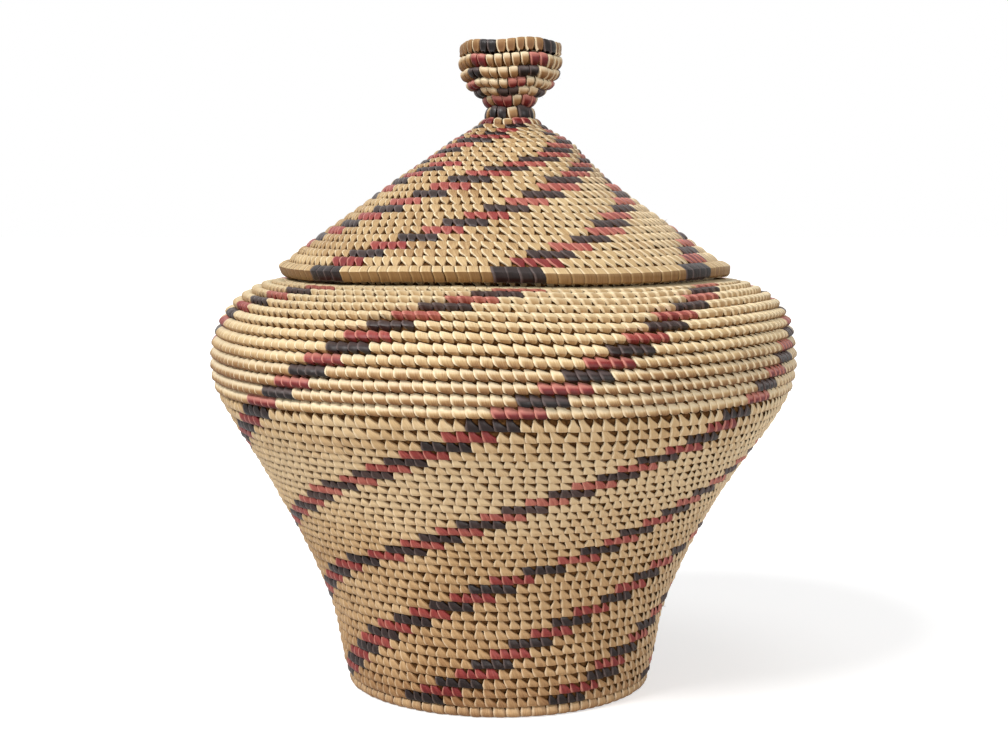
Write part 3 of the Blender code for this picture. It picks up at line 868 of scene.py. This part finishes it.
def splint_material(
    name, stops, roughness, edge, highlight, underside_shade=UNDERSIDE_SHADE, span=UNDERSIDE_SHADE_SPAN, darker_low=False,
):
    """Split plant fibre, streaked along the splint, with a tint for each stitch.

    One edge of a splint gets painted shade and the other a painted highlight. Its middle is darker, and one
    end of a shaded form gets painted shade while its other end gets a painted highlight. What faces down gets
    painted shade, and what sits low is darker too, when that is asked for.
    """
    material, tree, shader = new_material(name)
    place = node(tree, "ShaderNodeTexCoord").outputs["Object"]
    fibre = node(tree, "ShaderNodeAttribute", attribute_name="fibre").outputs["Vector"]
    tint = node(tree, "ShaderNodeAttribute", attribute_name="tint").outputs["Fac"]
    sides = node(tree, "ShaderNodeAttribute", attribute_name="edge").outputs["Vector"]
    sides = node(tree, "ShaderNodeSeparateXYZ", {"Vector": sides}).outputs
    stretched = node(tree, "ShaderNodeMapping", {"Vector": fibre, "Scale": STREAK_SCALE}).outputs["Vector"]
    streaks = noise(tree, stretched, 1, STREAK_DETAIL)
    blotches = noise(tree, place, BLOTCH_SCALE, BLOTCH_DETAIL)
    tone = reckon(tree, "MULTIPLY_ADD", blotches, BLOTCH_SHARE, TONE_START)
    tone = reckon(tree, "MULTIPLY_ADD", streaks, STREAK_SHARE, tone)
    tone = reckon(tree, "MULTIPLY_ADD", tint, TINT_SHARE, tone)
    colour = ramp(tree, tone, stops)

    # Painted shade on one edge, and a painted highlight on the other edge and on one end of a shaded form
    colour = mixed(tree, colour, edge, fade(tree, sides["X"], SHADED_EDGE_SPAN, high=SHADED_EDGE_MOST))
    highlit_edge = fade(tree, sides["X"], HIGHLIT_EDGE_SPAN, high=HIGHLIT_EDGE_MOST)
    highlit_end = fade(tree, sides["Y"], HIGHLIT_END_SPAN, high=HIGHLIT_END_MOST)
    colour = mixed(tree, colour, highlight, reckon(tree, "MAXIMUM", highlit_edge, highlit_end))

    # Painted shade on what faces down
    normal = node(tree, "ShaderNodeNewGeometry").outputs["Normal"]
    upward = node(tree, "ShaderNodeSeparateXYZ", {"Vector": normal}).outputs["Z"]
    colour = mixed(tree, colour, underside_shade, fade(tree, upward, span), "MULTIPLY")
    # Painted shade at one end of a shaded form, laid along the splint's middle, which is a little darker on
    # every splint
    middle = fade(tree, reckon(tree, "ABSOLUTE", sides["X"]), DARKER_MIDDLE_SPAN)
    shade_and_middle = reckon(tree, "MULTIPLY", fade(tree, sides["Y"], SHADED_END_SPAN), middle)
    colour = mixed(tree, colour, SHADED_END_AND_MIDDLE, shade_and_middle, "MULTIPLY")
    # Darker towards the bottom of the basket
    if darker_low:
        height = node(tree, "ShaderNodeSeparateXYZ", {"Vector": place}).outputs["Z"]
        colour = mixed(tree, colour, LOW_DARKENING, fade(tree, height, LOW_DARKENING_SPAN, high=LOW_DARKENING_MOST), "MULTIPLY")

    feed(tree, shader, {
        "Base Color": colour,
        "Roughness": fade(tree, streaks, (0, 1), roughness - SHINIER, roughness + DULLER),
        "Normal": bumps(tree, streaks, STREAK_STRENGTH, STREAK_DEPTH),
        "Specular IOR Level": SPLINT_SPECULAR,
    })
    return material


def filling_material(name):
    """The grass bundle that shows in the holes between the stitches, its own brown darkened further as
    painted shade.
    """
    material, tree, shader = new_material(name)
    place = node(tree, "ShaderNodeTexCoord").outputs["Object"]
    grass = noise(tree, place, GRASS_SCALE, GRASS_DETAIL)
    feed(tree, shader, {
        "Base Color": ramp(tree, grass, SHADED_GRASS),
        "Normal": bumps(tree, grass, GRASS_STRENGTH, GRASS_DEPTH),
        "Roughness": GRASS_ROUGHNESS,
        "Specular IOR Level": GRASS_SPECULAR,
    })
    return material


natural_splint = splint_material(
    "natural_splint_fibre", NATURAL, NATURAL_ROUGHNESS, NATURAL_EDGE_SHADE, NATURAL_HIGHLIGHT, darker_low=True,
)
red_splint = splint_material("red_splint_fibre", RED, RED_ROUGHNESS, RED_EDGE_SHADE, RED_HIGHLIGHT)
dark_splint = splint_material("dark_splint_fibre", DARK, DARK_ROUGHNESS, DARK_EDGE_SHADE, DARK_HIGHLIGHT)
# The rim's splints: the natural colours with heavier painted shade on the downward front and a duller painted
# highlight
rim_shaded_splint = splint_material(
    "rim_shaded_splint_fibre", NATURAL, NATURAL_ROUGHNESS, NATURAL_EDGE_SHADE, RIM_HIGHLIGHT,
    underside_shade=RIM_UNDERSIDE_SHADE, span=RIM_UNDERSIDE_SHADE_SPAN,
)
grass_filling = filling_material("grass_filling")

# Pieces of natural stitches: the name, the zone of courses, the nodes that it stands for, and the slot
BODY_PIECES = (
    ("base_stitches", "base", ("base_start_button", "base_coil"), "aged_splint"),
    ("foot_stitches", "foot", ("foot_coil",), "aged_splint"),
    ("lower_wall_stitches", "lower_wall", ("lower_wall",), "natural_splint"),
    ("flared_wall_lower_stitches", "flared_wall", ("flared_wall",), "natural_splint"),
    ("flared_wall_upper_stitches", "flared_wall_upper", ("flared_wall",), "natural_splint"),
    ("belly_stitches", "belly", ("belly",), "natural_splint"),
    ("shoulder_stitches", "shoulder", ("shoulder",), "natural_splint"),
    ("mouth_rim_stitches", "mouth", ("mouth_rim_coil",), "natural_splint"),
)
LID_PIECES = (
    ("knob_stitches", "knob", ("knob_top_disc", "knob_rim_coil", "knob_cup", "knob_neck"), "natural_splint"),
    ("lid_cone_upper_stitches", "cone_upper", ("lid_cone_upper",), "natural_splint"),
    ("lid_cone_lower_stitches", "cone_lower", ("lid_cone_lower",), "natural_splint"),
    ("lid_rim_stitches", "rim", ("lid_rim_coil",), "natural_splint"),
)
RING_PIECES = (
    ("locating_ring_stitches", "ring", ("lid_locating_ring",), "natural_splint"),
)


def add_piece(name, mesh, body, nodes, material):
    piece = bpy.data.objects.new(name, mesh)
    bpy.context.scene.collection.objects.link(piece)
    mesh.materials.append(material)
    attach(piece, body)
    if nodes:
        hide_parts(*nodes)


def dress(strand, body, prefix, pieces, band_of):
    """Stitches of a whole strand: natural ones zone by zone, dyed ones together, and the filling."""
    batches = [stitch_turn(strand, turn, band_of) for turn in range(len(strand.courses))]
    for name, zone, nodes, slot in pieces:
        chosen = [batch for batch, course in zip(batches, strand.courses) if course.zone == zone]
        mesh = strips_mesh(name, joined(chosen, NATURAL_DYE), rows_cells)
        add_piece(name, mesh, body, nodes, rim_shaded_splint if zone == "rim" else natural_splint)
    for dye, word, material in ((RED_DYE, "red", red_splint), (DARK_DYE, "dark", dark_splint)):
        batch = joined(batches, dye)
        if len(batch.cells):
            name = f"{prefix}_{word}_stitches"
            add_piece(name, strips_mesh(name, batch, grid_cells), body, (), material)
    name = f"{prefix}_grass_filling"
    add_piece(name, filling_mesh(name, strand), body, (), grass_filling)


def loose_tips(name, strand, body, tips):
    """Dark ends of splints that stand off the coil."""
    along = np.linspace(0, 1, TIP_PLACES)
    along = np.concatenate([along, along[::-1]])[None, :, None]
    side = np.repeat([1, -1], TIP_PLACES)[None, :, None]
    batches = []
    for number, (row, degrees, length, slant) in enumerate(tips):
        turn = strand.lowest - strand.side * row
        wide = TIP_WIDTH / 2 * (1 - TIP_TAPER * along) * ACROSS
        angle = math.radians(degrees) + (wide + slant * length * along**2) / strand.courses[turn].radius
        lift = length * along * (1 - TIP_DROOP * along) + TIP_HALF_THICKNESS * side
        points = lay(strand, turn, angle, *TIP_ROOT, lift)
        fibre = np.stack(np.broadcast_arrays(wide, length * along), axis=-1)
        edge = np.stack(np.broadcast_arrays(ACROSS, 0.0, wide)[:2], axis=-1)
        cells = np.array([[number, 0, 1]])
        batches.append(Batch(points, cells, np.array([DARK_DYE]), random.uniform(0, 1, 1), fibre, edge))
    mesh = strips_mesh(name, joined(batches, DARK_DYE), grid_cells)
    add_piece(name, mesh, body, (), dark_splint)


def photograph_camera():
    """The camera, looking level along +Y apart from its dip."""
    lens = bpy.data.cameras.new("camera")
    lens.sensor_width = SENSOR_WIDTH
    lens.lens = SENSOR_WIDTH * FOCAL_PIXELS / IMAGE_WIDTH
    lens.clip_start, lens.clip_end = CLIP_START, CLIP_END
    camera = bpy.data.objects.new("camera", lens)
    camera.location = (0, -CAMERA_AWAY, CAMERA_HEIGHT)
    camera.rotation_euler = (math.pi / 2 - CAMERA_DIP, 0, 0)
    bpy.context.scene.collection.objects.link(camera)
    bpy.context.scene.camera = camera


def studio_light(name, place, size, power):
    """A round soft light that faces the basket."""
    lamp = bpy.data.lights.new(name, "AREA")
    lamp.shape = "DISK"
    lamp.size = size
    lamp.energy = power
    light = bpy.data.objects.new(name, lamp)
    light.location = place
    x, y, z = np.array(LIGHT_AIM) - np.array(place)
    light.rotation_euler = (math.atan2(math.hypot(x, y), -z), 0, math.atan2(y, x) - math.pi / 2)
    bpy.context.scene.collection.objects.link(light)


def studio_world():
    """Soft light from all round, which the camera and reflections see as plain white."""
    world = bpy.data.worlds.new("studio")
    bpy.context.scene.world = world
    world.use_nodes = True
    tree = world.node_tree
    rays = node(tree, "ShaderNodeLightPath").outputs
    mirrored = reckon(tree, "MAXIMUM", rays["Is Glossy Ray"], rays["Is Transmission Ray"])
    seen = reckon(tree, "MAXIMUM", rays["Is Camera Ray"], mirrored)
    strength = fade(tree, seen, (0, 1), low=WORLD_LIGHT)
    feed(tree, tree.nodes["Background"], {"Color": WHITE, "Strength": strength})


def studio_floor():
    """A white floor that keeps the basket's soft shadow."""
    bpy.ops.mesh.primitive_plane_add(size=FLOOR_SIZE, location=FLOOR_PLACE)
    floor = bpy.context.active_object
    floor.name = "studio_floor"
    material, tree, shader = new_material("white_paper")
    rays = node(tree, "ShaderNodeLightPath").outputs
    place = node(tree, "ShaderNodeNewGeometry").outputs["Position"]
    away = node(tree, "ShaderNodeVectorMath", {0: place}, operation="LENGTH").outputs["Value"]
    glow = fade(tree, away, GLOW_SPAN, *GLOW, kind="SMOOTHSTEP")
    feed(tree, shader, {
        "Base Color": PAPER,
        "Roughness": PAPER_ROUGHNESS,
        "Specular IOR Level": PAPER_SPECULAR,
        "Emission Color": WHITE,
        "Emission Strength": reckon(tree, "MULTIPLY", glow, rays["Is Camera Ray"]),
    })
    floor.data.materials.append(material)


courses = body_courses()
first_wall_turn = next(turn for turn, course in enumerate(courses) if course.zone == "lower_wall")
body_strand = strand_of(courses, -1, lowest=first_wall_turn)
courses = lid_courses(body_strand.courses[-1])
lid_strand = strand_of(courses, 1, lowest=len(courses) - 1)
ring_strand = strand_of(ring_courses(), 1, climbs=False)

dress(body_strand, "basket", "basket", BODY_PIECES, body_band)
dress(lid_strand, "lid", "lid", LID_PIECES, lid_band)
dress(ring_strand, "lid", "locating_ring", RING_PIECES, no_band)
loose_tips("basket_loose_tips", body_strand, "basket", BODY_TIPS)
loose_tips("lid_loose_tips", lid_strand, "lid", LID_TIPS)

photograph_camera()
for light in LIGHTS:
    studio_light(*light)
studio_world()
studio_floor()
bpy.context.scene.view_settings.view_transform = "Standard"
